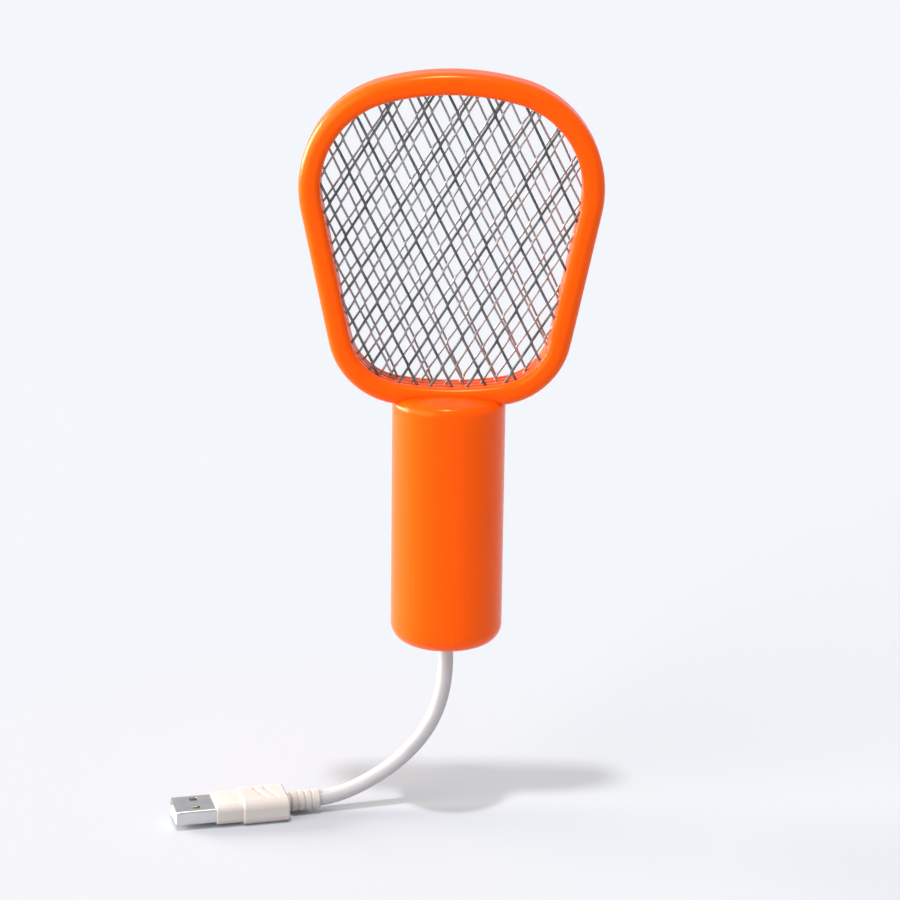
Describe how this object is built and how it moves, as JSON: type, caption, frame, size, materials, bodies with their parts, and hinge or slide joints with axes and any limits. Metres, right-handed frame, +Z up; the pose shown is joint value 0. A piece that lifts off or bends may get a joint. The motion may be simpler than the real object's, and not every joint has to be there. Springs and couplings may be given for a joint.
{
  "type": "electric fly swatter",
  "caption": "Small corded electric fly swatter: orange ring head with layered diamond mesh, round handle with a push button, short white cord and USB-A plug.",
  "frame": {"origin": "centre of the handle's flat end face, where the cord leaves", "axes": "+Z up the handle to the head, -Y towards the plain front, +X to the right seen from the front"},
  "size_m": [0.125, 0.0451, 0.2211],
  "materials": {
    "orange_shell": "glossy moulded ABS",
    "screw_steel": "zinc plated",
    "front_mesh_steel": "dark, slightly oxidised",
    "inner_mesh_steel": "grey, satin",
    "lead_red": "satin insulation",
    "lead_black": "satin insulation",
    "button_black": "fine matte grain",
    "switch_white": "satin",
    "switch_black": "satin",
    "tinned_wire": "tinned",
    "board_green": "solder mask",
    "ferrite": "sintered, matte",
    "bobbin_cream": "satin",
    "copper_winding": "enamelled copper wire",
    "capacitor_red": "dipped epoxy",
    "ceramic_ochre": "dipped epoxy",
    "resistor_tan": "lacquered",
    "lamp_red": "tinted epoxy lens",
    "cord_white": "soft PVC, satin",
    "plug_cream": "satin PVC moulding",
    "usb_steel": "nickel plated",
    "usb_insulator": "moulded, satin",
    "contact_gold": "gold plated"
  },
  "bodies": {
    "root": {"handle_front_shell": "orange_shell", "handle_rear_shell": "orange_shell", "shell_screws": "screw_steel", "head_front_frame": "orange_shell", "head_rear_frame": "orange_shell", "front_mesh": "front_mesh_steel", "centre_mesh": "inner_mesh_steel", "rear_mesh": "inner_mesh_steel", "front_spacer": "orange_shell", "rear_spacer": "orange_shell", "centre_mesh_lead": "lead_red", "outer_mesh_leads": "lead_black", "switch_spring": "tinned_wire", "switch_body": "switch_black", "switch_pins": "tinned_wire", "circuit_board": "board_green", "transformer_core": "ferrite", "transformer_bobbin": "bobbin_cream", "transformer_winding": "copper_winding", "transformer_pins": "tinned_wire", "film_capacitor": "capacitor_red", "ceramic_capacitors": "ceramic_ochre", "rectifier_diodes": "switch_black", "resistors": "resistor_tan", "transistor": "switch_black", "component_leads": "tinned_wire", "indicator_lamp": "lamp_red", "lamp_leads": "tinned_wire", "cord_grommet": "cord_white", "cord_clamp": "cord_white", "power_leads": "lead_red", "cord": "cord_white", "plug_relief": "plug_cream", "plug_moulding": "plug_cream", "plug_shell": "usb_steel", "plug_insulator": "usb_insulator", "plug_contacts": "contact_gold"},
    "button": {"push_button": "button_black"},
    "plunger": {"switch_plunger": "switch_white"}
  },
  "joints": [
    {"name": "button_press", "type": "slide", "parent": "root", "child": "button", "axis": [0, -1, 0], "range_m": [0, 0.001], "stiffness_N_per_m": 400, "springref_m": -0.002},
    {"name": "plunger_press", "type": "slide", "parent": "root", "child": "plunger", "axis": [0, -1, 0], "range_m": [0, 0.001], "deforming": ["switch_spring"]}
  ],
  "couplings": [
    {"joint": "plunger_press", "follows": "button_press", "ratio": 1}
  ]
}
